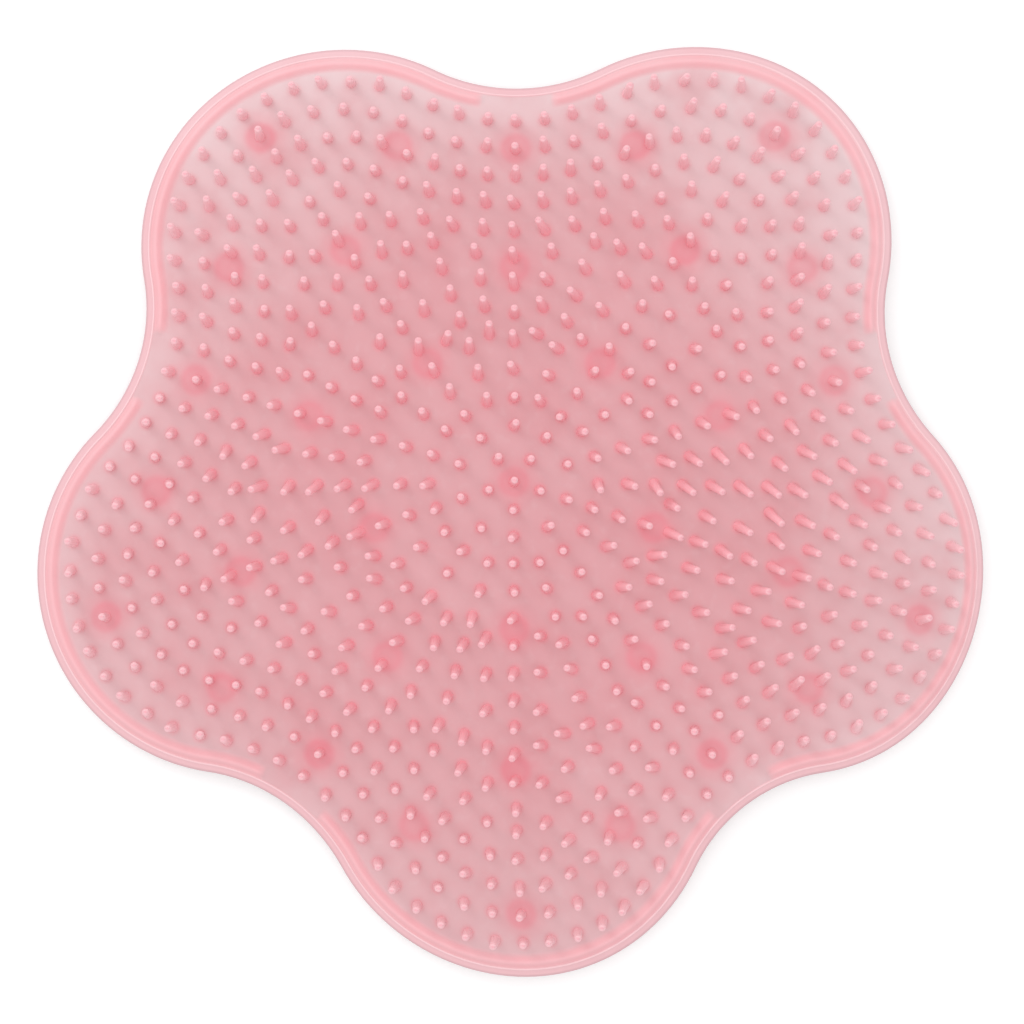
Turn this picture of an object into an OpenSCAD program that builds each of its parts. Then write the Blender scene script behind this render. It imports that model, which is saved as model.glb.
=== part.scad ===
// Shower foot scrubber: a soft mat in the shape of a five-lobed flower.
// One moulding of soft rubber: a thin sheet with a round edge, a bead and five
// ridges along its rim, tapered bristles on top and suction cups below.
// Millimetres. The origin is the flower's centre, on the floor that the cups
// stand on. +Z is up and one lobe points along -Y.

/* [Flower outline] */
// Centre of the flower to the tip of a lobe
lobe_reach = 155; // [152:0.5:158]
// Centre of the flower to the bottom of a notch
notch_reach = 124.5; // [122:0.5:127]
// Radius of the round end of a lobe
lobe_r = 63; // [60:0.5:65]

/* [Sheet and rim] */
// Thickness of the sheet
sheet_t = 2.2; // [2.2:0.1:3]
// Middle of the rim bead, in from the edge
bead_inset = 2.3; // [2:0.1:2.4]
// Width of the rim bead
bead_w = 0.8; // [0.6:0.1:0.9]
// Height of the rim bead above the sheet
bead_h = 0.3; // [0.1:0.05:0.5]
// Outer side of the ridges, in from the edge
ridge_inset = 2.9; // [2.8:0.1:4]
// Width of the ridges
ridge_w = 3; // [2:0.1:3.4]
// Height of the ridges above the sheet
ridge_h = 1.3; // [0.6:0.1:1.8]
// Break between two ridges at a notch
ridge_gap = 22; // [10:1:30]

/* [Bristles] */
// Length of a bristle above the sheet
bristle_l = 12; // [8:0.5:14]
// Diameter of a bristle at its root
root_d = 3.5; // [3:0.1:4.2]
// Diameter of a bristle at the start of its round tip
tip_d = 2.4; // [1.6:0.1:2.8]
// Outermost row, in from the edge
edge_row_inset = 10.85; // [9.5:0.05:12]
// Distance between the rows that follow the edge
row_pitch = 8.75; // [8:0.05:9]
// Distance between bristles along those rows
along_pitch = 8.95; // [8:0.05:10]
// Angle between bristles on the ring inside those rows, round the lobe's centre
ring_step = 33.4; // [31:0.1:35]
// Distance between bristles on the arc inside those rows, at a notch
arc_pitch = 9.6; // [8.5:0.1:10.5]
// Distance between bristles on a lobe's own line
line_pitch = 8.5; // [8.1:0.05:8.8]
// Distance between bristles on the spokes from the centre
spoke_pitch = 8.8; // [8.4:0.05:9]
// Angle between a lobe's line and the long spoke beside it
spoke_angle = 17.3; // [16:0.1:18]
// Angle between a lobe's line and the short spoke by the notch
short_angle = 26.5; // [26:0.1:27]
// Start of the short spoke
short_start = 47; // [46:0.1:48]
// Distance between bristles on the short spoke
short_pitch = 8.6; // [8.4:0.05:8.8]
// Distance of the side row from the lobe's line
side_row_y = 8.65; // [8:0.05:9]
// Start of the side row
side_row_start = 48.4; // [47:0.1:49]
// Distance between bristles in the side row
side_row_pitch = 11.4; // [10.5:0.1:11.5]
// Place of the single bristle in the lobe's shoulder, along the lobe's line
shoulder_x = 78.9; // [78:0.1:80]
// And beside it
shoulder_y = 15.9; // [15:0.1:17]

/* [Lean] */
// Most that a bristle leans outwards, in degrees
lean_max = 7; // [0:0.5:15]
// Distance from the centre at which bristles stand straight again
lean_reach = 112; // [60:1:160]

/* [Suction cups] */
// Height of the sheet's underside above the floor
cup_h = 6.5; // [5.5:0.1:9]
// Diameter of a cup at its lip
cup_d = 17.6; // [15:0.1:19]
// Thickness of the lip's outer side
lip_t = 0.6; // [0.4:0.1:1]
// Width of the flat ring that seals on the floor
lip_w = 0.9; // [0.6:0.1:1.4]
// Depth of a cup's hollow
cup_depth = 3; // [2:0.1:3.6]
// Thickness of a cup's roof
roof_t = 1.3; // [1:0.1:1.8]
// Diameter of the solid neck between a cup and the sheet
neck_d = 10.3; // [7:0.1:11]
// First ring of cups from the centre, towards the lobes
cup_ring_a = 46.2; // [42:0.1:50]
// Second ring, towards the notches
cup_ring_b = 67.9; // [64:0.1:72]
// Third ring, towards the lobes
cup_ring_c = 90.5; // [87:0.1:94]
// Fourth ring, towards the notches
cup_ring_d = 105.3; // [101:0.1:109]
// Fifth ring, in pairs beside the lobes' lines
cup_ring_e = 112.6; // [109:0.1:116]
// Angle between a pair's cups and the lobe's line
cup_pair_angle = 16.8; // [15:0.1:19]
// Sixth ring, in the lobe tips
cup_ring_f = 135.2; // [131:0.1:139]

/* [Hidden] */
$fn = 48;
lobes = 5;
turn = 360 / lobes;
half_turn = turn / 2;
first_lobe = -90;
sheet_z = cup_h;
top_z = sheet_z + sheet_t;
edge_r = sheet_t / 2;
ridge_middle = ridge_inset + ridge_w / 2;
// How far the necks and the flat sheet go into what they join
sink = 0.6;
// How deep the bristles do, so that a leaning root stays covered
root_sink = root_d / 2 * sin(lean_max) + sink / 4;

// The outline is an arc round each lobe's centre and one round each notch's
// centre. They meet on the line between the two centres, which gives the
// notch arc's radius.
lobe_c = lobe_reach - lobe_r;
notch_r = (lobe_r ^ 2 - lobe_c ^ 2 - notch_reach ^ 2 + 2 * lobe_c * notch_reach * cos(half_turn))
    / (2 * (notch_reach - lobe_c * cos(half_turn) - lobe_r));
notch_c = notch_reach + notch_r;
lobe_half = atan2(notch_c * sin(half_turn), notch_c * cos(half_turn) - lobe_c);
notch_half = lobe_half - half_turn;
gap_half = ridge_gap / 2 / (notch_r + ridge_middle) * 180 / PI;

// A petal is the part round one lobe, whose line is the x axis here
function polar(r, a) = [r * cos(a), r * sin(a)];
lobe_centre = [lobe_c, 0];
notch_centre = polar(notch_c, half_turn);

module round_petals() {
    for (i = [0 : lobes - 1]) rotate(first_lobe + i * turn) children();
}
module both_sides() {
    children();
    mirror([0, 1, 0]) children();
}

// Stations round the edge, from a lobe's line to the notch's middle. Each is a
// place on the edge, the direction inwards, and the share of the ridge's size
// there, which falls to nothing round the ridge's end.
function turned(p, a) = [p.x * cos(a) - p.y * sin(a), p.x * sin(a) + p.y * cos(a)];
function lobe_station(a) = [lobe_centre + polar(lobe_r, a), a + 180, 1];
function notch_station(a, share) =
    let (inwards = 180 + half_turn + a) [notch_centre + polar(notch_r, inwards), inwards, share];
function ridge_end(a) = gap_half + ridge_w / 2 * (1 - cos(a)) / (notch_r + ridge_middle) * 180 / PI;
half_stations = concat(
    [for (i = [0 : 10]) lobe_station(lobe_half * i / 10)],
    [for (i = [1 : 3]) notch_station(notch_half + (ridge_end(90) - notch_half) * i / 3, 1)],
    [for (a = [60, 30, 0]) notch_station(ridge_end(a), sin(a))],
    [for (i = [1 : 2]) notch_station(gap_half * (1 - i / 2), 0)]
);
last_station = len(half_stations) - 1;
function twin(s) = [[s[0].x, -s[0].y], -s[1], s[2]];
petal_stations = concat(
    [for (i = [last_station : -1 : 1]) twin(half_stations[i])],
    [for (i = [0 : last_station - 1]) half_stations[i]]
);
stations = [for (i = [0 : lobes - 1], s = petal_stations)
    [turned(s[0], first_lobe + i * turn), s[1] + first_lobe + i * turn, s[2]]];

// The rim's section: how far in from the edge, and how high above the sheet.
// It goes from the underside round the edge, over the bead and the ridge, and
// ends a little inside the ridge. Round its end the ridge keeps a least width.
rim_margin = 1.2;
rim_w = ridge_inset + ridge_w + rim_margin;
least_share = 0.2;
function rim_section(share) = concat(
    [[rim_w, -sheet_t]],
    [for (a = [-90 : 45 : 90]) [edge_r - edge_r * cos(a), -edge_r + edge_r * sin(a)]],
    [[bead_inset - bead_w / 2, 0], [bead_inset - bead_w / 4, bead_h],
     [bead_inset + bead_w / 4, bead_h], [bead_inset + bead_w / 2, 0]],
    [for (a = [0 : 45 : 180])
        [ridge_middle - ridge_w / 2 * max(share, least_share) * cos(a), ridge_h * share * sin(a)]],
    [[rim_w, 0]]
);

// The rim is lofted through its section at each station
module rim() {
    m = len(rim_section(1));
    n = len(stations);
    polyhedron(
        points = [for (s = stations, q = rim_section(s[2]))
            [s[0].x + q.x * cos(s[1]), s[0].y + q.x * sin(s[1]), top_z + q.y]],
        faces = [for (i = [0 : n - 1], j = [0 : m - 1])
            let (k = (i + 1) % n, l = (j + 1) % m) [i * m + j, i * m + l, k * m + l, k * m + j]]
    );
}

// The flat sheet inside the rim laps into it
module sheet() {
    inset = rim_w - sink;
    translate([0, 0, sheet_z]) linear_extrude(sheet_t)
        polygon([for (s = stations) [s[0].x + inset * cos(s[1]), s[0].y + inset * sin(s[1])]]);
}

// Places of the bristles of half a petal, between its line and the notch's.
// The outer rows follow the edge, one step further in each time.
edge_rows = 4;
ring_inset = edge_row_inset + edge_rows * row_pitch;
function lobe_len(inset) = (lobe_r - inset) * lobe_half * PI / 180;
function notch_len(inset) = (notch_r + inset) * notch_half * PI / 180;
function on_lobe(inset, s) = lobe_centre + polar(lobe_r - inset, s / (lobe_r - inset) * 180 / PI);
function on_notch(inset, s) =
    notch_centre + polar(notch_r + inset, 180 + half_turn + s / (notch_r + inset) * 180 / PI);
function edge_row(inset) =
    let (len = lobe_len(inset) + notch_len(inset), n = round(len / along_pitch))
    [for (i = [0 : n]) let (s = len * i / n)
        s < lobe_len(inset) ? on_lobe(inset, s) : on_notch(inset, len - s)];
// Spokes fill the middle, and a row runs beside the lobe's own line
function spoke(a, from, to) = [for (i = [from : to]) polar(i * spoke_pitch, a)];
half_petal = concat(
    [for (k = [0 : edge_rows - 1]) each edge_row(edge_row_inset + k * row_pitch)],
    [for (i = [0 : 3]) lobe_centre + polar(lobe_r - ring_inset, i * ring_step)],
    [for (i = [0 : 3]) on_notch(ring_inset, i * arc_pitch)],
    [for (i = [1 : 12]) [i * line_pitch, 0]],
    spoke(half_turn, 2, 8),
    spoke(spoke_angle, 3, 9),
    [for (i = [0 : 3]) polar(short_start + i * short_pitch, short_angle)],
    [for (i = [0 : 4]) [side_row_start + i * side_row_pitch, side_row_y]],
    [[shoulder_x, shoulder_y]]
);
// What lies on the lobe's line or the notch's line has no twin on the other side
near = 0.01;
function has_twin(p) = p.y > near && atan2(p.y, p.x) < half_turn - near;
bristle_places = concat(half_petal, [for (p = half_petal) if (has_twin(p)) [p.x, -p.y]]);

module bristle() {
    tip_r = tip_d / 2;
    rotate_extrude() polygon(concat(
        [[0, -root_sink], [root_d / 2, -root_sink]],
        [for (a = [0 : 30 : 60]) [tip_r * cos(a), bristle_l - tip_r + tip_r * sin(a)]],
        [[0, bristle_l - tip_r + tip_r * sin(60)]]
    ));
}

function lean(p) = lean_max * sin(180 * min(1, norm(p) / lean_reach));

module bristles() {
    for (p = bristle_places)
        translate([p.x, p.y, top_z]) rotate(lean(p), [-p.y, p.x, 0]) bristle();
}

// A ball's cap of a given height over a disc, from the floor
function cap_r(disc_r, h) = (disc_r ^ 2 + h ^ 2) / (2 * h);
module cap(disc_r, h) {
    translate([0, 0, h - cap_r(disc_r, h)]) sphere(cap_r(disc_r, h));
}

module cup() {
    roof_z = cup_depth + roof_t;
    difference() {
        union() {
            cylinder(d = neck_d, h = sheet_z + sink);
            cylinder(d = cup_d, h = lip_t);
            intersection() {
                translate([0, 0, lip_t]) cap(cup_d / 2, roof_z - lip_t);
                cylinder(d = cup_d, h = roof_z);
            }
        }
        cap(cup_d / 2 - lip_w, cup_depth);
    }
}

module cups() {
    for (r = [cup_ring_a, cup_ring_c, cup_ring_f]) translate([r, 0]) cup();
    for (r = [cup_ring_b, cup_ring_d]) translate(polar(r, half_turn)) cup();
    both_sides() translate(polar(cup_ring_e, cup_pair_angle)) cup();
}

module scrubber_mat() {
    color("pink") {
        rim();
        sheet();
        round_petals() bristles();
        translate([0, 0, top_z]) bristle();
        round_petals() cups();
        cup();
    }
}

scrubber_mat();
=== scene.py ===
import math

import bpy
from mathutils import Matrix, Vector, geometry, kdtree


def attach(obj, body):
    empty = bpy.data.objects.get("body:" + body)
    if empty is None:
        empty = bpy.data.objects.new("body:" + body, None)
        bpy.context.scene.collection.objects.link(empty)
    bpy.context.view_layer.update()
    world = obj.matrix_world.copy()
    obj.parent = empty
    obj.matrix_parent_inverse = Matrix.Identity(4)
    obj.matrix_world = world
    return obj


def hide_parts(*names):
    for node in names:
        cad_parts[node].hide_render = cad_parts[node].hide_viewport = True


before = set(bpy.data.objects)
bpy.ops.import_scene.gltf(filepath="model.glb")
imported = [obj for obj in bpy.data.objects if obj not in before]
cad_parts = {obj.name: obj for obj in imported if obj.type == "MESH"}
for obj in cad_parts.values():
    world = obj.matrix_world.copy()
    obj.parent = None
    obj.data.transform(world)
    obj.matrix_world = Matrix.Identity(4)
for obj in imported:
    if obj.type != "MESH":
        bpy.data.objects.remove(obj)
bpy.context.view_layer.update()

MM = 0.001

# The flower, as in the part's source
LOBES = 5
TURN = math.radians(360 / LOBES)
HALF_TURN = TURN / 2
FIRST_LOBE = math.radians(-90)
LOBE_REACH = 155 * MM
NOTCH_REACH = 124.5 * MM
LOBE_R = 63 * MM
LOBE_C = LOBE_REACH - LOBE_R
NOTCH_R = (LOBE_R ** 2 - LOBE_C ** 2 - NOTCH_REACH ** 2 + 2 * LOBE_C * NOTCH_REACH * math.cos(HALF_TURN)) / (
    2 * (NOTCH_REACH - LOBE_C * math.cos(HALF_TURN) - LOBE_R))
NOTCH_C = NOTCH_REACH + NOTCH_R
LOBE_HALF = math.atan2(NOTCH_C * math.sin(HALF_TURN), NOTCH_C * math.cos(HALF_TURN) - LOBE_C)
NOTCH_HALF = LOBE_HALF - HALF_TURN
LOBE_CENTRE = Vector((LOBE_C, 0))
NOTCH_CENTRE = Vector((NOTCH_C * math.cos(HALF_TURN), NOTCH_C * math.sin(HALF_TURN)))

# The sheet and its rim
SHEET_Z = 6.5 * MM
SHEET_T = 2.2 * MM
TOP_Z = SHEET_Z + SHEET_T
EDGE_R = SHEET_T / 2
BEAD_INSET = 2.5 * MM
BEAD_W = 0.8 * MM
BEAD_H = 0.3 * MM
RIDGE_INSET = 2.95 * MM
RIDGE_CREST_INSET = 4.6 * MM
RIDGE_FOOT_INSET = 7.3 * MM
RIDGE_H = 1.0 * MM
RIDGE_GAP = 22 * MM
RIDGE_END = 2.2 * MM
FLAT_INSET = 7.55 * MM
# What the flat top's points give as their inset, in mm: far from the rim's tones
FLAT_TONE_INSET = 20
# The rim's tones, where each begins and ends to change, in mm from the edge
EDGE_LINE_ENDS = (0.35, 1.1)
# The bead's painted highlight line
BEAD_HIGHLIGHT_STARTS = (2.1, 2.45)
BEAD_HIGHLIGHT_ENDS = (2.6, 2.95)
BAND_ENDS = (2.5, 3.1)
RIDGE_STARTS = (2.6, 3.2)
RIDGE_ENDS = (5.6, 7.9)
# The painted highlight along the ridge's crest: its inset, and where it fades
CREST_HIGHLIGHT_INSET = 4.7
CREST_HIGHLIGHT_HALF = (0.1, 0.8)
# The radii where painted light, let through the sheet towards the rim, begins to pale it and where it is palest
OUTER_LIGHT_RADII = (60 * MM, 150 * MM)
# The same painted light, for the bristles
BRISTLE_LIGHT_RADII = (75 * MM, 150 * MM)
# The direction of the mat's painted lit side, where the light falls most, and how far from the middle it changes
LIT_SIDE = math.radians(64)
LIT_REACH = 140 * MM

# The bristles
BRISTLE_L = 12 * MM
ROOT_R = 1.45 * MM
TIP_R = 1.15 * MM
TIP_H = 0.75 * MM
DIMPLE = 0.15 * MM
ROOT_FILLET = 0.2 * MM
SUNK = 0.45 * MM
STRAYING = 0.08
SEED = 11
GLOW_R = 1.8 * MM
GLOW_END = 3.2 * MM
EDGE_ROW_INSET = 10.85 * MM
ROW_PITCH = 8.75 * MM
ALONG_PITCH = 8.95 * MM
EDGE_ROWS = 4
RING_STEP = math.radians(33.4)
ARC_PITCH = 9.6 * MM
LINE_PITCH = 8.5 * MM
SPOKE_PITCH = 8.8 * MM
SPOKE_ANGLE = math.radians(17.3)
SHORT_ANGLE = math.radians(26.5)
SHORT_START = 47 * MM
SHORT_PITCH = 8.6 * MM
SIDE_ROW_Y = 8.65 * MM
SIDE_ROW_START = 48.4 * MM
SIDE_ROW_PITCH = 11.4 * MM
SHOULDER = Vector((78.9 * MM, 15.9 * MM))
# Four rings, each with its radius and the leans on it, in degrees towards +X and
# towards +Y. They were measured in the photo at equal steps round the mat, from +X on.
LEAN_RINGS = (
    (48 * MM, ((12, -14), (5, -4), (-10, 6), (5, 14), (-2, 4), (-13, -8), (-7, -1), (-4, -10), (-5, 2), (16, 1))),
    (84 * MM, ((12, -18), (-5, -1), (-10, 9), (-4, 7), (5, 6), (-8, -12), (-5, 1), (-1, -6), (-14, 3), (13, 3))),
    (111 * MM, ((6, -10), (1, 4), (-2, 0), (2, -2), (1, 5), (7, -5), (5, 5), (0, 3), (-11, 1), (1, 14))),
    (134 * MM, ((3, -6), (-1, 0), (-1, -1), (2, -3), (0, 2), (5, -3), (4, 5), (1, 4), (-6, 0), (0, 12))))
# The soft mat's rim doesn't lie quite regular. Each term has the powers of x and y,
# taken over LIE_REACH, and the shifts in x and y, in mm, that their product scales.
LIE_REACH = 150 * MM
LIE = ((0, 0, 1.77, -1.34), (0, 1, -0.18, -0.58), (0, 2, 0.61, 0.6), (0, 3, -0.97, 0.57), (1, 0, 1.31, -0.89),
       (1, 1, 3.24, 0.41), (1, 2, 0.33, 2.11), (2, 0, -2.48, -0.29), (2, 1, 2.45, 0.31), (3, 0, -2.21, 0.18))

# The suction cups
CUP_D = 17.6 * MM
LIP_T = 0.6 * MM
LIP_W = 0.9 * MM
CUP_DEPTH = 3 * MM
ROOF_T = 1.3 * MM
NECK_D = 10.3 * MM
LIP_ROUND = 0.2 * MM
NECK_FOOT = 0.35 * MM
NECK_FILLET = 0.6 * MM
CUP_PAIR_ANGLE = math.radians(16.8)
# Each ring's distance from the centre and its angle from a lobe's line
CUP_RINGS = ((46.2 * MM, 0), (67.9 * MM, HALF_TURN), (90.5 * MM, 0), (105.3 * MM, HALF_TURN),
             (112.6 * MM, CUP_PAIR_ANGLE), (112.6 * MM, -CUP_PAIR_ANGLE), (135.2 * MM, 0))


def polar(r, a):
    return Vector((r * math.cos(a), r * math.sin(a)))


def turned(p, a):
    return Vector((p.x * math.cos(a) - p.y * math.sin(a), p.x * math.sin(a) + p.y * math.cos(a)))


def laid(p):
    """Where a point of the regular flower comes to lie: its middle stays in place."""
    x, y = p.x / LIE_REACH, p.y / LIE_REACH
    shift = sum((Vector((a, b)) * x ** i * y ** j for i, j, a, b in LIE), Vector((0, 0)))
    return p + shift * MM * math.hypot(x, y) ** 3


def lobe_turns():
    return [FIRST_LOBE + i * TURN for i in range(LOBES)]


def on_lobe(inset, s):
    """A point inset from the edge, s along from the lobe's line."""
    r = LOBE_R - inset
    return LOBE_CENTRE + polar(r, s / r)


def on_notch(inset, s):
    """The same, s along from the notch's middle."""
    r = NOTCH_R + inset
    return NOTCH_CENTRE + polar(r, math.pi + HALF_TURN + s / r)


def half_edge(inset, pitch):
    """Points from the lobe's line to the notch's middle, about pitch apart."""
    lobe_len = (LOBE_R - inset) * LOBE_HALF
    notch_len = (NOTCH_R + inset) * NOTCH_HALF
    n = round((lobe_len + notch_len) / pitch)
    steps = [(lobe_len + notch_len) * i / n for i in range(n + 1)]
    return [on_lobe(inset, s) if s < lobe_len else on_notch(inset, lobe_len + notch_len - s) for s in steps]


def bristle_places():
    """The bristles' roots: rows that follow the edge, and spokes inside them."""
    ring_inset = EDGE_ROW_INSET + EDGE_ROWS * ROW_PITCH
    half = []
    for k in range(EDGE_ROWS):
        half += half_edge(EDGE_ROW_INSET + k * ROW_PITCH, ALONG_PITCH)
    half += [LOBE_CENTRE + polar(LOBE_R - ring_inset, i * RING_STEP) for i in range(4)]
    half += [on_notch(ring_inset, i * ARC_PITCH) for i in range(4)]
    half += [Vector((i * LINE_PITCH, 0)) for i in range(1, 13)]
    half += [polar(i * SPOKE_PITCH, HALF_TURN) for i in range(2, 9)]
    half += [polar(i * SPOKE_PITCH, SPOKE_ANGLE) for i in range(3, 10)]
    half += [polar(SHORT_START + i * SHORT_PITCH, SHORT_ANGLE) for i in range(4)]
    half += [Vector((SIDE_ROW_START + i * SIDE_ROW_PITCH, SIDE_ROW_Y)) for i in range(5)]
    half.append(SHOULDER)
    shared = 0.01 * MM
    twins = [Vector((p.x, -p.y)) for p in half
             if p.y > shared and math.atan2(p.y, p.x) < HALF_TURN - math.radians(0.01)]
    return [Vector((0, 0))] + [turned(p, a) for a in lobe_turns() for p in half + twins]


def cup_places():
    return [Vector((0, 0))] + [turned(polar(r, b), a) for a in lobe_turns() for r, b in CUP_RINGS]


# Node trees
class Socket:
    """An output of a node. Python's sums on it add Math nodes."""

    def __init__(self, graph, output):
        self.graph = graph
        self.output = output

    def __add__(self, other):
        return self.graph.math("ADD", self, other)

    def __radd__(self, other):
        return self.graph.math("ADD", other, self)

    def __sub__(self, other):
        return self.graph.math("SUBTRACT", self, other)

    def __rsub__(self, other):
        return self.graph.math("SUBTRACT", other, self)

    def __mul__(self, other):
        return self.graph.math("MULTIPLY", self, other)

    def __truediv__(self, other):
        return self.graph.math("DIVIDE", self, other)

    def __pow__(self, other):
        return self.graph.math("POWER", self, other)


class Graph:
    """A node tree, of a material or of Geometry Nodes, that is built by calls."""

    def __init__(self, tree):
        self.tree = tree

    def find(self, sockets, key):
        if isinstance(key, int):
            return sockets[key]
        return next(s for s in sockets if s.name == key and s.enabled)

    def add(self, kind, settings=None, sockets=None, output=0):
        """A node of a kind, with its settings first, then its sockets' values or links."""
        node = self.tree.nodes.new(kind)
        for name, value in (settings or {}).items():
            setattr(node, name, value)
        for key, value in (sockets or {}).items():
            socket = self.find(node.inputs, key)
            if isinstance(value, Socket):
                self.tree.links.new(value.output, socket)
            else:
                socket.default_value = value
        return Socket(self, self.find(node.outputs, output)) if node.outputs else node

    def math(self, operation, *values, clamp=False):
        return self.add("ShaderNodeMath", {"operation": operation, "use_clamp": clamp}, dict(enumerate(values)))

    def least(self, values):
        result = values[0]
        for value in values[1:]:
            result = self.math("MINIMUM", result, value)
        return result

    def ease(self, value, start, end):
        """0 at start, 1 at end, smooth between and level beyond."""
        return self.add("ShaderNodeMapRange", {"interpolation_type": "SMOOTHSTEP"},
                        {"Value": value, "From Min": start, "From Max": end})

    def mix(self, share, first, second):
        return self.add("ShaderNodeMix", {"data_type": "RGBA"}, {0: share, 6: first, 7: second}, output=2)

    def noise(self, position, grain, detail=2.0, roughness=0.5):
        """A smooth random value round 0.5, whose lumps are about grain across."""
        return self.add("ShaderNodeTexNoise", {}, {
            "Vector": position, "Scale": 1 / grain, "Detail": detail, "Roughness": roughness})

    def ports(self, kind, *names):
        """Adds named inputs of one kind to a Geometry Nodes tree."""
        for name in names:
            self.tree.interface.new_socket(name=name, in_out="INPUT", socket_type="NodeSocket" + kind)

    def given(self, name):
        """What comes in at a named input."""
        return self.add("NodeGroupInput", output=name)


def nodes_piece(name, base, tree, values):
    """Runs a Geometry Nodes tree on a base mesh and keeps the result as a plain mesh."""
    source = bpy.data.objects.new(name + "_base", base)
    bpy.context.scene.collection.objects.link(source)
    modifier = source.modifiers.new(name, "NODES")
    modifier.node_group = tree
    ports = {item.name: item.identifier for item in tree.interface.items_tree
             if item.item_type == "SOCKET" and item.in_out == "INPUT"}
    for key, value in values.items():
        modifier[ports[key]] = value
    graph = bpy.context.evaluated_depsgraph_get()
    mesh = bpy.data.meshes.new_from_object(source.evaluated_get(graph), depsgraph=graph)
    source.modifiers.clear()
    bpy.data.objects.remove(source)
    mesh.materials.clear()
    mesh.materials.append(values["Material"])
    mesh.polygons.foreach_set("material_index", [0] * len(mesh.polygons))
    return shown(name, mesh)


def shown(name, mesh):
    mesh.name = name
    piece = bpy.data.objects.new(name, mesh)
    bpy.context.scene.collection.objects.link(piece)
    return piece


def plain_mesh(name, points, faces=()):
    mesh = bpy.data.meshes.new(name)
    mesh.from_pydata([tuple(p) for p in points], (), faces)
    mesh.update()
    return mesh


def store(mesh, name, kind, values):
    """Keeps one value for each point of a mesh under a name."""
    attribute = mesh.attributes.new(name, kind, "POINT")
    key = "vector" if kind == "FLOAT_VECTOR" else "value"
    flat = [c for v in values for c in v] if key == "vector" else list(values)
    attribute.data.foreach_set(key, flat)


def new_tree(name):
    tree = bpy.data.node_groups.new(name, "GeometryNodeTree")
    tree.interface.new_socket(name="Geometry", in_out="INPUT", socket_type="NodeSocketGeometry")
    tree.interface.new_socket(name="Geometry", in_out="OUTPUT", socket_type="NodeSocketGeometry")
    return Graph(tree)


def finish_tree(graph, geometry, material):
    """Every tree ends in real faces with a smooth shade and a material."""
    real = graph.add("GeometryNodeRealizeInstances", {}, {"Geometry": geometry})
    smooth = graph.add("GeometryNodeSetShadeSmooth", {}, {"Geometry": real})
    painted = graph.add("GeometryNodeSetMaterial", {}, {"Geometry": smooth, "Material": material})
    graph.add("NodeGroupOutput", {}, {"Geometry": painted})
    return graph.tree


def bristle_tree():
    """A tapered bristle with a round tip on each point, leaning as its point says."""
    graph = new_tree("bristle field")
    given = graph.given
    graph.ports("Float", "Length", "Root radius", "Tip radius", "Tip height", "Dimple", "Root fillet", "Sunk",
                "Straying")
    graph.ports("Int", "Seed")
    graph.ports("Material", "Material")

    # The place along the axis is kept, because moving the points changes the spline's own.
    # The first half of the axis is the shaft, closer at the root, the second the tip.
    line = graph.add("GeometryNodeCurvePrimitiveLine", {"mode": "POINTS"}, {"End": (0, 0, 1)})
    axis = graph.add("GeometryNodeResampleCurve", {}, {"Curve": line, "Count": 9})
    factor = graph.add("GeometryNodeSplineParameter", output="Factor")
    axis = graph.add("GeometryNodeStoreNamedAttribute", {"data_type": "FLOAT", "domain": "POINT"}, {
        "Geometry": axis, "Name": "along", "Value": factor})
    along = graph.add("GeometryNodeInputNamedAttribute", {"data_type": "FLOAT"}, {"Name": "along"},
                      output="Attribute")
    shaft = graph.math("MULTIPLY", along, 2, clamp=True) ** 1.7
    end = graph.math("SUBTRACT", along * 2, 1, clamp=True)
    dome = end * math.radians(80)
    dimple = graph.ease(end, 0.7, 1.0) * given("Dimple")
    tip_height = given("Tip height")
    height = shaft * (given("Length") - tip_height) + graph.math("SINE", dome) * tip_height - dimple
    taper = given("Root radius") + shaft * (given("Tip radius") - given("Root radius"))
    width = (taper + (1 - shaft) ** 9 * given("Root fillet")) * graph.math("COSINE", dome) ** 0.62
    place = graph.add("ShaderNodeCombineXYZ", {}, {"Z": height - given("Sunk")})
    axis = graph.add("GeometryNodeSetPosition", {}, {"Geometry": axis, "Position": place})
    ring = graph.add("GeometryNodeCurvePrimitiveCircle", {"mode": "RADIUS"}, {"Resolution": 10, "Radius": 1.0})
    bristle = graph.add("GeometryNodeCurveToMesh", {}, {
        "Curve": axis, "Profile Curve": ring, "Scale": width, "Fill Caps": True})
    way = graph.add("FunctionNodeRandomValue", {"data_type": "FLOAT_VECTOR"}, {
        "Min": (-1, -1, -0.2), "Max": (1, 1, 0.2), "Seed": given("Seed")})
    way = graph.add("ShaderNodeVectorMath", {"operation": "SCALE"}, {
        "Vector": way, "Scale": given("Straying")})
    lean = graph.add("GeometryNodeInputNamedAttribute", {"data_type": "FLOAT_VECTOR"}, {"Name": "lean"},
                     output="Attribute")
    way = graph.add("ShaderNodeVectorMath", {"operation": "ADD"}, {0: lean, 1: way})
    turn = graph.add("FunctionNodeAlignRotationToVector", {"axis": "Z"}, {"Vector": way})
    length = graph.add("FunctionNodeRandomValue", {"data_type": "FLOAT"}, {
        "Min": 0.97, "Max": 1.0, "Seed": given("Seed") + 1}, output="Value")
    scale = graph.add("ShaderNodeCombineXYZ", {}, {"X": 1.0, "Y": 1.0, "Z": length})
    field = graph.add("GeometryNodeInstanceOnPoints", {}, {
        "Points": given("Geometry"), "Instance": bristle, "Rotation": turn, "Scale": scale})
    tint = graph.add("FunctionNodeRandomValue", {"data_type": "FLOAT"}, {
        "Min": 0.0, "Max": 1.0, "Seed": given("Seed") + 2}, output="Value")
    field = graph.add("GeometryNodeStoreNamedAttribute", {"data_type": "FLOAT", "domain": "INSTANCE"}, {
        "Geometry": field, "Name": "tint", "Value": tint})
    return finish_tree(graph, field, given("Material"))


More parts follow.
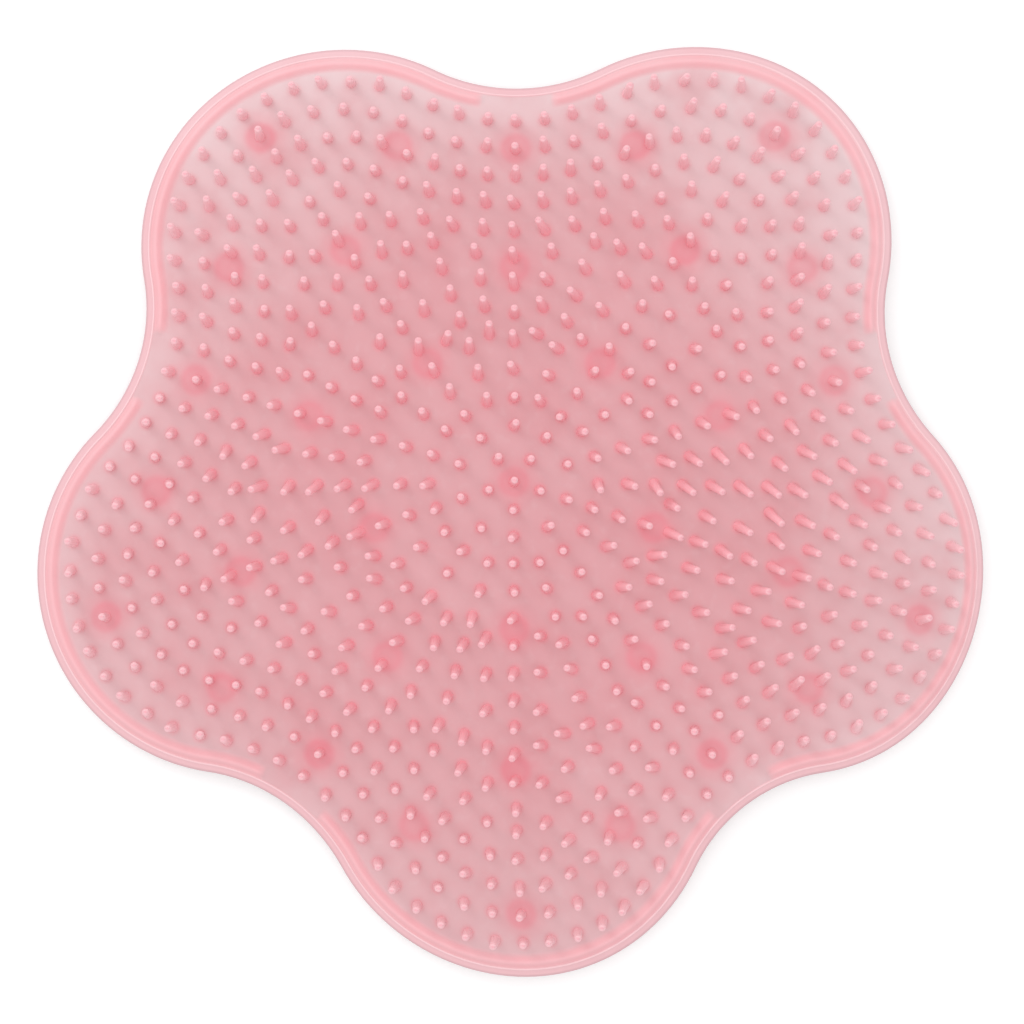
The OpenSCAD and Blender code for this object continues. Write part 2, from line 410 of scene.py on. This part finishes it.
def cup_tree():
    """One turned shape on each point."""
    graph = new_tree("suction cups")
    given = graph.given
    graph.ports("Object", "Shape")
    graph.ports("Material", "Material")
    shape = graph.add("GeometryNodeObjectInfo", {"transform_space": "ORIGINAL"}, {"Object": given("Shape")},
                      output="Geometry")
    cups = graph.add("GeometryNodeInstanceOnPoints", {}, {"Points": given("Geometry"), "Instance": shape})
    return finish_tree(graph, cups, given("Material"))


# Meshes
def edge_stations():
    """Points all round the edge, each with its way inwards and the ridge's share of its height."""
    half = []
    lobe_steps, notch_steps = 24, 22
    for i in range(lobe_steps + 1):
        a = LOBE_HALF * i / lobe_steps
        half.append((LOBE_CENTRE + polar(LOBE_R, a), a + math.pi))
    for i in range(1, notch_steps + 1):
        a = math.pi + HALF_TURN + NOTCH_HALF * (1 - i / notch_steps)
        half.append((NOTCH_CENTRE + polar(NOTCH_R, a), a))
    half = [(p, a, ridge_share(p + polar(RIDGE_CREST_INSET, a))) for p, a in half]
    petal = [(Vector((p.x, -p.y)), -a, share) for p, a, share in half[:0:-1]] + half[:-1]
    return [(turned(p, t), a + t, share) for t in lobe_turns() for p, a, share in petal]


def ridge_share(p):
    """1 along a lobe's ridge, 0 in the gap at a notch, with a rounded end between."""
    notch_line = polar(1, HALF_TURN)
    past = (abs(p.x * notch_line.y - p.y * notch_line.x) - RIDGE_GAP / 2) / RIDGE_END
    return math.sqrt(1 - (1 - max(0, min(1, past))) ** 2)


def eased(value, start, end):
    share = max(0, min(1, (value - start) / (end - start)))
    return share * share * (3 - 2 * share)


def sheet_section():
    """From the middle of the underside, round the edge and over bead and ridge to the flat top:
    each point's inset, its height from the top and the ridge's height there."""
    under = [(inset * MM, -SHEET_T, 0) for inset in (40, 32, 24, 16, 11, 7, 4, 2.2)]
    turns = [math.radians(d) for d in range(-90, 91, 15)]
    edge = [(EDGE_R * (1 - math.cos(a)), EDGE_R * (math.sin(a) - 1), 0) for a in turns]
    bead = [(BEAD_INSET + BEAD_W / 2 * u, BEAD_H * math.cos(math.pi / 2 * u) ** 2, 0)
            for u in (-1, -0.6, -0.3, 0, 0.3, 0.6, 1)]
    rise = [RIDGE_INSET + step * MM for step in (0.05, 0.3, 0.55, 0.85, 1.2)]
    fall = [RIDGE_CREST_INSET + (RIDGE_FOOT_INSET - RIDGE_CREST_INSET) * i / 6 for i in range(7)]
    ridge = [(inset, 0, RIDGE_H * eased(inset, RIDGE_INSET, RIDGE_CREST_INSET)
              * eased(inset, RIDGE_FOOT_INSET, RIDGE_CREST_INSET)) for inset in rise + fall + [FLAT_INSET]]
    return under + edge + bead + ridge


def glow_spots():
    """Points round each bristle's root, at which the sheet's pink glow changes."""
    spots = []
    for p in bristle_places():
        spots.append(p)
        for r, count in ((GLOW_R, 8), (GLOW_END, 10)):
            spots += [p + polar(r, 2 * math.pi * i / count) for i in range(count)]
    return spots


def sheet_mesh():
    """The sheet with its rim, closed: loops round it, and a flat top that is finer round each bristle."""
    stations = edge_stations()
    section = sheet_section()
    n = len(stations)
    places, heights, insets, runs, faces = [], [], [], [], []

    def loop(inset, z, rise=0, inwards=1.0):
        for p, a, share in stations:
            places.append((p + polar(inset, a)) * inwards)
            heights.append(z + rise * share)
            insets.append(inset / MM)
            runs.append(share)

    for inwards in (0.35, 0.7):
        loop(section[0][0], SHEET_Z, inwards=inwards)
    for inset, h, rise in section:
        loop(inset, TOP_Z + h, rise)
    rows = len(section) + 2
    for j in range(rows - 1):
        for i in range(n):
            k = (i + 1) % n
            faces.append((j * n + i, j * n + k, (j + 1) * n + k, (j + 1) * n + i))
    places.append(Vector((0, 0)))
    heights.append(SHEET_Z)
    insets.append(section[0][0] / MM)
    runs.append(0)
    faces += [(rows * n, (i + 1) % n, i) for i in range(n)]

    # The flat top, whose own edge is the last loop
    last = (rows - 1) * n
    found, _, triangles, sources, _, _ = geometry.delaunay_2d_cdt(
        places[last:last + n] + glow_spots(), [], [list(range(n))], 1, 0.001 * MM)
    number = []
    for point, source in zip(found, sources):
        if source and min(source) < n:
            number.append(last + min(source))
            continue
        number.append(len(places))
        places.append(point)
        heights.append(TOP_Z)
        insets.append(FLAT_TONE_INSET)
        runs.append(0)
    faces += [[number[i] for i in t] for t in triangles]

    roots = kdtree.KDTree(len(bristle_places()))
    for i, p in enumerate(bristle_places()):
        roots.insert((p.x, p.y, 0), i)
    roots.balance()
    glows = []
    for p, z in zip(places, heights):
        gap = roots.find((p.x, p.y, 0))[2]
        glows.append(max(0, min(1, (GLOW_END - gap) / (GLOW_END - GLOW_R * 0.7))) if z > SHEET_Z + EDGE_R else 0)

    mesh = plain_mesh("sheet", [(*laid(p), z) for p, z in zip(places, heights)], faces=faces)
    store(mesh, "inset", "FLOAT", insets)
    store(mesh, "run", "FLOAT", runs)
    store(mesh, "glow", "FLOAT", glows)
    store(mesh, "place", "FLOAT_VECTOR", [(p.x, p.y, 0) for p in places])
    mesh.polygons.foreach_set("use_smooth", [True] * len(mesh.polygons))
    return mesh


def smooth_steps(spot, items):
    """Between two neighbours of a row of vectors, which closes round."""
    first, share = int(spot) % len(items), spot - int(spot)
    share = share * share * (3 - 2 * share)
    return Vector(items[first]).lerp(Vector(items[(first + 1) % len(items)]), share)


def lean_at(p):
    """Which way a bristle leans, from the leans measured on the rings inside and outside it."""
    around = math.degrees(math.atan2(p.y, p.x)) % 360
    rings = [(r, smooth_steps(around / 360 * len(row), row)) for r, row in LEAN_RINGS]
    rings = [(0, Vector((0, 0)))] + rings + [(200 * MM, rings[-1][1])]
    i = next(k for k in range(1, len(rings)) if p.length <= rings[k][0])
    share = (p.length - rings[i - 1][0]) / (rings[i][0] - rings[i - 1][0])
    lean = rings[i - 1][1].lerp(rings[i][1], share)
    return Vector((math.tan(math.radians(lean.x)), math.tan(math.radians(lean.y)), 1)).normalized()


def bristle_points():
    places = bristle_places()
    mesh = plain_mesh("bristle places", [(*laid(p), TOP_Z) for p in places])
    store(mesh, "lean", "FLOAT_VECTOR", [lean_at(p) for p in places])
    return mesh


def cup_section():
    """A cup's outline from the middle of its hollow, down round the lip and up to the neck."""
    roof = CUP_DEPTH + ROOF_T
    seal = CUP_D / 2 - LIP_W
    hollow = (seal ** 2 + CUP_DEPTH ** 2) / (2 * CUP_DEPTH)
    shell_h = roof - LIP_T
    shell = ((CUP_D / 2) ** 2 + shell_h ** 2) / (2 * shell_h)
    inside = []
    for i in range(1, 7):
        r = seal * i / 6
        inside.append((r, CUP_DEPTH - hollow + math.sqrt(hollow ** 2 - r ** 2)))
    lip = [(CUP_D / 2 - LIP_ROUND, 0), (CUP_D / 2, LIP_ROUND), (CUP_D / 2, LIP_T)]
    outside = []
    for i in range(1, 6):
        r = CUP_D / 2 + (NECK_D / 2 + NECK_FOOT - CUP_D / 2) * i / 5
        outside.append((r, LIP_T + shell_h - shell + math.sqrt(shell ** 2 - r ** 2)))
    top = outside[-1][1]
    neck = [(NECK_D / 2, top + 0.5 * MM), (NECK_D / 2, SHEET_Z - NECK_FILLET),
            (NECK_D / 2 + NECK_FILLET / 3, SHEET_Z - NECK_FILLET / 4),
            (NECK_D / 2 + NECK_FILLET, SHEET_Z + 0.05 * MM)]
    return inside + lip + outside + neck


def cup_mesh(sides=28):
    """The cup's outline turned round its own line, and closed."""
    section = cup_section()
    points = [(0, 0, CUP_DEPTH)]
    for r, z in section:
        points += [(r * math.cos(2 * math.pi * i / sides), r * math.sin(2 * math.pi * i / sides), z)
                   for i in range(sides)]
    points.append((0, 0, section[-1][1]))
    faces = []
    for i in range(sides):
        k = (i + 1) % sides
        faces.append((0, 1 + k, 1 + i))
        for j in range(len(section) - 1):
            a, b = 1 + j * sides, 1 + (j + 1) * sides
            faces.append((a + i, a + k, b + k, b + i))
        last = 1 + (len(section) - 1) * sides
        faces.append((last + i, last + k, len(points) - 1))
    return plain_mesh("cup", points, faces=faces)


# Materials
def tone(red, green, blue):
    """A colour as it looks, from 0 to 255, in linear light."""
    return tuple(((c / 255 + 0.055) / 1.055) ** 2.4 for c in (red, green, blue)) + (1.0,)


SHEET_MIDDLE = tone(221, 171, 176)
# Painted light: the sheet's paler tone near the rim, where light comes through it
SHEET_OUTER_LIGHT = tone(231, 211, 213)
SHEET_CLOUD = tone(220, 161, 167)
# The cups' deep pink: the necks' own, and painted as shade where they show through the sheet
CUP_SEEN = tone(234, 138, 151)
# Painted shade round each bristle's root, where the thick root shows through the sheet
ROOT_GLOW = tone(240, 152, 162)
RIM_BAND = tone(240, 190, 196)
# A painted highlight on the bead
BEAD_HIGHLIGHT = tone(253, 216, 220)
EDGE_LINE = tone(214, 170, 176)
RIDGE_TONE = tone(247, 183, 189)
# A painted highlight along the ridge's crest
RIDGE_CREST_HIGHLIGHT = tone(248, 190, 196)
BRISTLE_ROOT = tone(255, 183, 192)
BRISTLE_SHAFT = tone(255, 190, 198)
BRISTLE_TIP = tone(255, 192, 200)
# Painted light that pales the bristles near the rim
BRISTLE_PALE = tone(253, 212, 217)
# A painted highlight ring round the bristle's tip, and painted shade in its dimpled end
BRISTLE_HIGHLIGHT_RING = tone(245, 188, 195)
BRISTLE_SHADED_DOT = tone(242, 168, 179)


def new_material(name):
    material = bpy.data.materials.new(name)
    material.use_nodes = True
    material.node_tree.nodes.clear()
    return material, Graph(material.node_tree)


def soft_rubber(graph, colour, roughness, normal):
    """Milky soft rubber: its tones carry the light that such rubber lets through."""
    shader = graph.add("ShaderNodeBsdfPrincipled", {}, {
        "Base Color": colour, "Roughness": roughness, "Normal": normal, "IOR": 1.42, "Specular IOR Level": 0.45})
    graph.add("ShaderNodeOutputMaterial", {}, {"Surface": shader})


def skin(graph, position):
    """The moulding's slightly matt skin: a fine grain over soft, wide unevenness."""
    grain = graph.noise(position, 0.9 * MM, detail=3.0, roughness=0.6)
    waves = graph.noise(position, 14 * MM, detail=1.0)
    height = grain * 0.012 + waves * 0.5
    bump = graph.add("ShaderNodeBump", {}, {"Strength": 0.35, "Distance": 0.6 * MM, "Height": height},
                     output="Normal")
    roughness = 0.4 + (grain - 0.5) * 0.16 + (waves - 0.5) * 0.1
    return roughness, bump


def coordinates(graph):
    return graph.add("ShaderNodeTexCoord", output="Object")


def sheet_rubber():
    """Paler towards the rim and on one side with painted light, clouded, with painted shade where the cups and
    the bristles' roots show through.
    """
    material, graph = new_material("milky pink sheet")
    position = coordinates(graph)
    place = graph.add("ShaderNodeAttribute", {"attribute_name": "place"}, {}, output="Vector")
    x = graph.add("ShaderNodeSeparateXYZ", {}, {0: place}, output="X")
    y = graph.add("ShaderNodeSeparateXYZ", {}, {0: place}, output="Y")
    radius = graph.math("SQRT", x * x + y * y)
    # One petal stands for all: the angle from the nearest lobe's own line
    angle = graph.math("ARCTAN2", y, x) - (FIRST_LOBE - HALF_TURN) + 2 * math.pi
    angle = graph.math("ABSOLUTE", graph.math("MODULO", angle, TURN) - HALF_TURN)
    along = radius * graph.math("COSINE", angle)
    beside = radius * graph.math("SINE", angle)

    def gap_to(r, a):
        return graph.math("SQRT", (along - r * math.cos(a)) ** 2.0 + (beside - r * math.sin(a)) ** 2.0)

    cup_gap = graph.least([radius] + [gap_to(r, a) for r, a in CUP_RINGS if a >= 0])
    inset = graph.add("ShaderNodeAttribute", {"attribute_name": "inset"}, {}, output="Fac")

    cloud = graph.noise(position, 26 * MM, detail=3.0, roughness=0.55)
    fleck = graph.noise(position, 4 * MM, detail=2.0)
    outer_light = graph.ease(radius, *OUTER_LIGHT_RADII)
    # Painted light: paler towards the rim, where light comes through the sheet, and more so on its lit side
    lit = graph.ease(x * math.cos(LIT_SIDE) + y * math.sin(LIT_SIDE), -LIT_REACH, LIT_REACH)
    colour = graph.mix(outer_light * (0.3 + lit * 0.6), SHEET_MIDDLE, SHEET_OUTER_LIGHT)
    colour = graph.mix(graph.ease(cloud, 0.42, 0.72) * 0.5, colour, SHEET_CLOUD)
    colour = graph.mix(graph.ease(fleck, 0.5, 0.8) * 0.12, colour, SHEET_OUTER_LIGHT)
    # The cups, painted as shade where they show through the milky sheet: a soft halo, then the neck's disc, which
    # is a little paler in its middle
    halo = 1 - graph.ease(cup_gap, 3.5 * MM, 10.5 * MM)
    disc = 1 - graph.ease(cup_gap, 3.3 * MM, 6.0 * MM)
    ring = graph.ease(cup_gap, 1.0 * MM, 4.4 * MM)
    colour = graph.mix(halo * 0.26, colour, CUP_SEEN)
    colour = graph.mix(disc * (0.3 + ring * 0.2 + (cloud - 0.5) * 0.8), colour, CUP_SEEN)
    # Painted shade: each bristle's thick root shows through the sheet as a deeper pink glow, weaker where the
    # painted light is strong
    glow = graph.ease(graph.add("ShaderNodeAttribute", {"attribute_name": "glow"}, {}, output="Fac"), 0.0, 1.0)
    colour = graph.mix(glow * (0.48 - outer_light * (0.1 + lit * 0.2)), colour, ROOT_GLOW)
    # The rim: a greyish line at the edge, a pale band, a painted highlight line on the bead and the soft pink
    # ridge with a painted highlight along its crest
    run = graph.add("ShaderNodeAttribute", {"attribute_name": "run"}, {}, output="Fac")
    band = 1 - graph.ease(inset, *BAND_ENDS)
    colour = graph.mix(band * 0.75, colour, RIM_BAND)
    # A painted highlight line on the bead
    bead = graph.ease(inset, *BEAD_HIGHLIGHT_STARTS) * (1 - graph.ease(inset, *BEAD_HIGHLIGHT_ENDS))
    colour = graph.mix(bead * 0.8, colour, BEAD_HIGHLIGHT)
    ridge = graph.ease(inset, *RIDGE_STARTS) * (1 - graph.ease(inset, *RIDGE_ENDS)) * run
    uneven = graph.noise(position, 9 * MM, detail=3.0)
    colour = graph.mix(ridge * (0.5 + uneven * 0.5), colour, RIDGE_TONE)
    # A painted highlight along the ridge's crest
    crest_highlight = 1 - graph.ease(graph.math("ABSOLUTE", inset - CREST_HIGHLIGHT_INSET), *CREST_HIGHLIGHT_HALF)
    colour = graph.mix(crest_highlight * run * 0.4, colour, RIDGE_CREST_HIGHLIGHT)
    line = 1 - graph.ease(inset, *EDGE_LINE_ENDS)
    colour = graph.mix(line * 0.7, colour, EDGE_LINE)
    roughness, bump = skin(graph, position)
    soft_rubber(graph, colour, roughness, bump)
    return material


def bristle_rubber():
    """Pink at the root, where the rubber is thick, and pale at the tip; painted light pales them more near the
    rim, and the tip has a painted highlight ring.
    """
    material, graph = new_material("pink bristle")
    position = coordinates(graph)
    x = graph.add("ShaderNodeSeparateXYZ", {}, {0: position}, output="X")
    y = graph.add("ShaderNodeSeparateXYZ", {}, {0: position}, output="Y")
    z = graph.add("ShaderNodeSeparateXYZ", {}, {0: position}, output="Z")
    outer_light = graph.ease(graph.math("SQRT", x * x + y * y), *BRISTLE_LIGHT_RADII)
    up = (z - TOP_Z) / BRISTLE_L
    along = graph.add("ShaderNodeAttribute", {"attribute_name": "along"}, {}, output="Fac")
    tint = graph.add("ShaderNodeAttribute", {"attribute_name": "tint"}, {}, output="Fac")
    colour = graph.mix(graph.ease(up, 0.0, 0.5), BRISTLE_ROOT, BRISTLE_SHAFT)
    colour = graph.mix(graph.ease(up, 0.45, 0.95), colour, BRISTLE_TIP)
    # Painted light: the bristles pale towards the rim, and a random share per bristle adds a little
    colour = graph.mix(outer_light * 0.8 + tint * 0.15, colour, BRISTLE_PALE)
    # Painted highlight: a bright ring round the tip; inside it, painted shade makes the tip's dimpled end a touch
    # darker
    colour = graph.mix(graph.ease(along, 0.5, 0.62) * 0.7, colour, BRISTLE_HIGHLIGHT_RING)
    colour = graph.mix(graph.ease(along, 0.8, 0.95) * 0.85, colour, BRISTLE_SHADED_DOT)
    roughness, bump = skin(graph, position)
    soft_rubber(graph, colour, roughness - 0.06, bump)
    return material


def cup_rubber():
    """Thick necks are deep pink and the thin lips pale."""
    material, graph = new_material("pink suction cup")
    position = coordinates(graph)
    z = graph.add("ShaderNodeSeparateXYZ", {}, {0: position}, output="Z")
    uneven = graph.noise(position, 6 * MM, detail=3.0)
    colour = graph.mix(graph.ease(z, 0.3 * MM, 4.5 * MM), RIM_BAND, CUP_SEEN)
    colour = graph.mix(graph.ease(uneven, 0.4, 0.8) * 0.25, colour, SHEET_MIDDLE)
    roughness, bump = skin(graph, position)
    soft_rubber(graph, colour, roughness - 0.08, bump)
    return material


def floor_paint():
    """A white floor that keeps its shadows and shows white to the camera."""
    material, graph = new_material("white floor")
    camera, glossy, through = [graph.add("ShaderNodeLightPath", output="Is %s Ray" % kind)
                               for kind in ("Camera", "Glossy", "Transmission")]
    seen = graph.math("MAXIMUM", graph.math("MAXIMUM", camera, glossy), through)
    paint = graph.add("ShaderNodeBsdfDiffuse", {}, {"Color": (0.82, 0.82, 0.82, 1)})
    glow = graph.add("ShaderNodeEmission", {}, {"Color": (1, 1, 1, 1), "Strength": 0.3})
    both = graph.add("ShaderNodeAddShader", {}, {0: paint, 1: glow})
    shader = graph.add("ShaderNodeMixShader", {}, {0: seen, 1: paint, 2: both})
    graph.add("ShaderNodeOutputMaterial", {}, {"Surface": shader})
    return material



def body_piece(piece):
    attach(piece, "root")
    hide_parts("scrubber_mat")
    return piece


# The object's pieces
sheet = shown("sheet_and_rim", sheet_mesh())
sheet.data.materials.append(sheet_rubber())
body_piece(sheet)

body_piece(nodes_piece("bristle_field", bristle_points(), bristle_tree(), {
    "Length": BRISTLE_L, "Root radius": ROOT_R, "Tip radius": TIP_R, "Tip height": TIP_H, "Dimple": DIMPLE,
    "Root fillet": ROOT_FILLET, "Sunk": SUNK, "Straying": STRAYING, "Seed": SEED, "Material": bristle_rubber()}))

cup = shown("cup_shape", cup_mesh())
cup_points = plain_mesh("cup places", [(*laid(p), 0) for p in cup_places()])
body_piece(nodes_piece("suction_cups", cup_points, cup_tree(), {"Shape": cup, "Material": cup_rubber()}))
bpy.data.objects.remove(cup)

# The floor, the light and the camera
FLOOR_HALF = 2.0
FLOOR_Z = -0.05 * MM
corners = [(x * FLOOR_HALF, y * FLOOR_HALF, FLOOR_Z) for x, y in ((-1, -1), (1, -1), (1, 1), (-1, 1))]
floor = shown("floor", plain_mesh("floor", corners, faces=[(0, 1, 2, 3)]))
floor.data.materials.append(floor_paint())


def soft_light(name, place, size, power):
    lamp = bpy.data.lights.new(name, "AREA")
    lamp.shape = "DISK"
    lamp.size = size
    lamp.energy = power
    light = bpy.data.objects.new(name, lamp)
    light.location = place
    light.rotation_euler = (-Vector(place)).to_track_quat("-Z", "Y").to_euler()
    bpy.context.scene.collection.objects.link(light)


soft_light("overhead", place=(0.0, 0.1, 1.3), size=1.2, power=3.0)
soft_light("window", place=(-0.7, 0.75, 0.8), size=0.7, power=2.5)

world = bpy.data.worlds.new("studio")
world.use_nodes = True
world.node_tree.nodes.clear()
sky = Graph(world.node_tree)
sky.add("ShaderNodeOutputWorld", {}, {"Surface": sky.add("ShaderNodeBackground", {}, {
    "Color": (1, 1, 1, 1), "Strength": 0.85})})
bpy.context.scene.world = world

lens = bpy.data.cameras.new("camera")
lens.sensor_width = 36
lens.lens = 77.3
camera = bpy.data.objects.new("camera", lens)
camera.location = (-0.00063, -0.00943, 0.7)
bpy.context.scene.collection.objects.link(camera)
bpy.context.scene.camera = camera
bpy.context.scene.view_settings.view_transform = "Standard"
